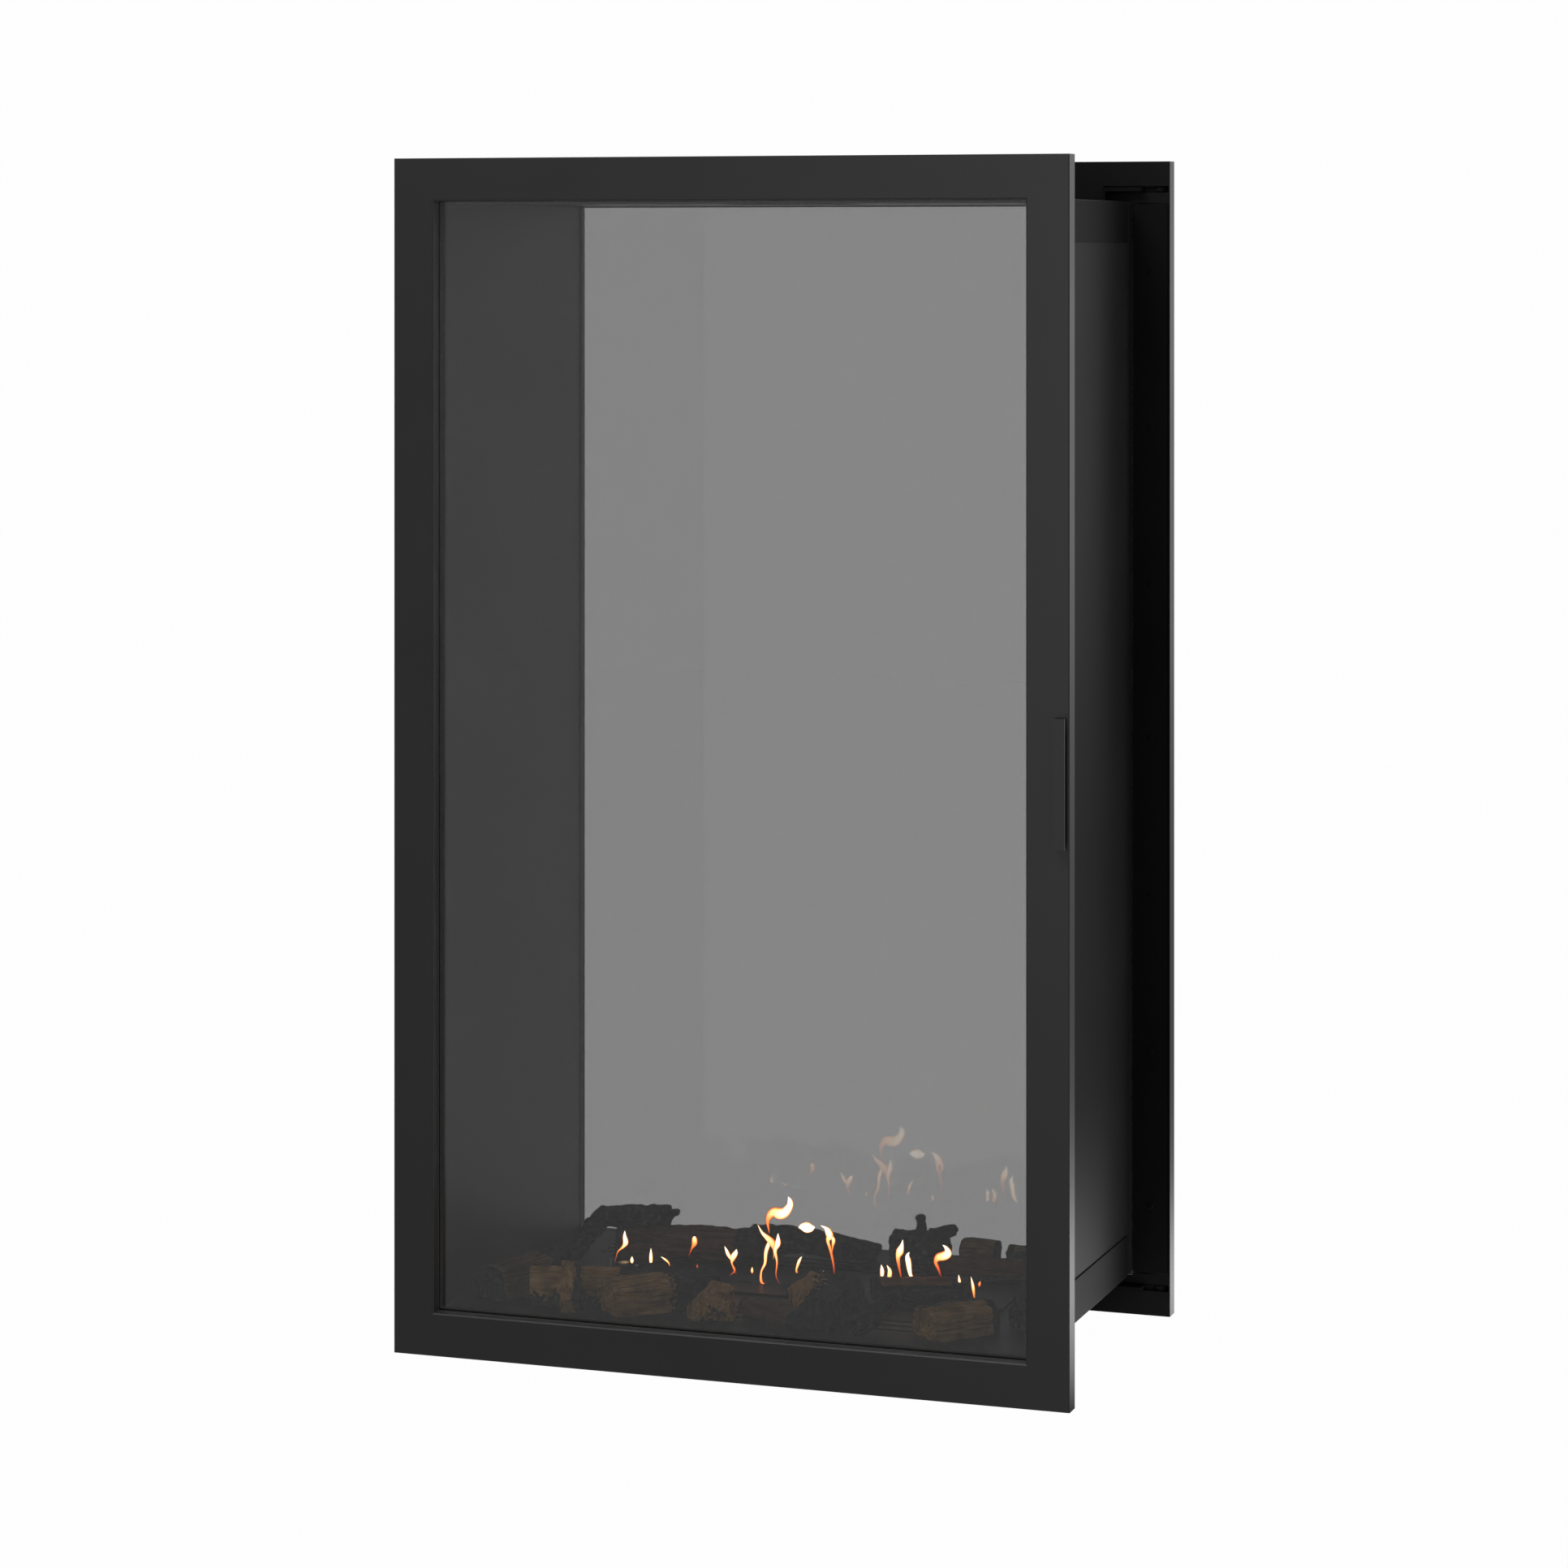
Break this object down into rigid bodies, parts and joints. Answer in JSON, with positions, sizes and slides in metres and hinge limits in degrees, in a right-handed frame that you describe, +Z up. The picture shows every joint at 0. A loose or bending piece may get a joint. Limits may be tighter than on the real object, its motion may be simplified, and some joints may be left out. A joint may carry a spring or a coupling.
{
  "type": "double-sided gas fireplace",
  "caption": "Tall built-in see-through gas fireplace: a black steel firebox open at front and back, closed by two hinged glass doors, with a log set over a line burner.",
  "frame": {"origin": "centre of the base tray's flat underside, on which the firebox stands", "axes": "+Z up, the front door faces -Y, +X to the right as one faces the front"},
  "size_m": [0.702, 0.441, 1.2],
  "materials": {
    "black_steel": "satin black heat-resistant paint",
    "glass": "clear ceramic glass with a grey, slightly mirroring coating",
    "sealing_tape": "woven glass-fibre tape, black",
    "log_ceramic": "moulded ceramic fibre painted as bark, split wood and char",
    "brass": "turned",
    "bare_steel": "zinc-plated",
    "white_ceramic": "glazed insulator"
  },
  "bodies": {
    "firebox": {"base_tray": "black_steel", "burner_deck": "black_steel", "burner_plenum": "black_steel", "ceiling_plate": "black_steel", "flame_sensor": "bare_steel", "flue_spigot": "black_steel", "front_catch": "black_steel", "front_hinge_bottom": "black_steel", "front_hinge_top": "black_steel", "front_seal": "sealing_tape", "gas_inlet": "brass", "hearth_plate": "black_steel", "left_wall": "black_steel", "log_back_bark": "log_ceramic", "log_back_charred": "log_ceramic", "log_back_corner": "log_ceramic", "log_back_knot": "log_ceramic", "log_back_left": "log_ceramic", "log_back_right": "log_ceramic", "log_burner_right": "log_ceramic", "log_centre_split": "log_ceramic", "log_front_branch": "log_ceramic", "log_front_right": "log_ceramic", "log_front_split": "log_ceramic", "log_left_branch": "log_ceramic", "log_left_corner": "log_ceramic", "log_left_split": "log_ceramic", "log_left_stub": "log_ceramic", "log_low_front": "log_ceramic", "log_middle_stub": "log_ceramic", "log_right_corner": "log_ceramic", "pilot_bracket": "bare_steel", "pilot_burner": "brass", "rear_catch": "black_steel", "rear_hinge_bottom": "black_steel", "rear_hinge_top": "black_steel", "rear_seal": "sealing_tape", "right_wall": "black_steel", "spark_electrode": "white_ceramic", "top_cover": "black_steel"},
    "front_door": {"front_bottom_rail": "black_steel", "front_glass": "glass", "front_glass_tape": "sealing_tape", "front_handle": "black_steel", "front_handle_clamp": "black_steel", "front_handle_stile": "black_steel", "front_hinge_clamp": "black_steel", "front_hinge_stile": "black_steel", "front_pivot_pins": "bare_steel", "front_top_rail": "black_steel"},
    "rear_door": {"rear_bottom_rail": "black_steel", "rear_glass": "glass", "rear_glass_tape": "sealing_tape", "rear_handle": "black_steel", "rear_handle_clamp": "black_steel", "rear_handle_stile": "black_steel", "rear_hinge_clamp": "black_steel", "rear_hinge_stile": "black_steel", "rear_pivot_pins": "bare_steel", "rear_top_rail": "black_steel"}
  },
  "joints": [
    {"name": "front_door_hinge", "type": "hinge", "parent": "firebox", "child": "front_door", "pos_m": [-0.339, -0.198, 0.5585], "axis": [0, 0, -1], "range_deg": [0, 105]},
    {"name": "rear_door_hinge", "type": "hinge", "parent": "firebox", "child": "rear_door", "pos_m": [0.339, 0.198, 0.5585], "axis": [0, 0, -1], "range_deg": [0, 105]}
  ]
}
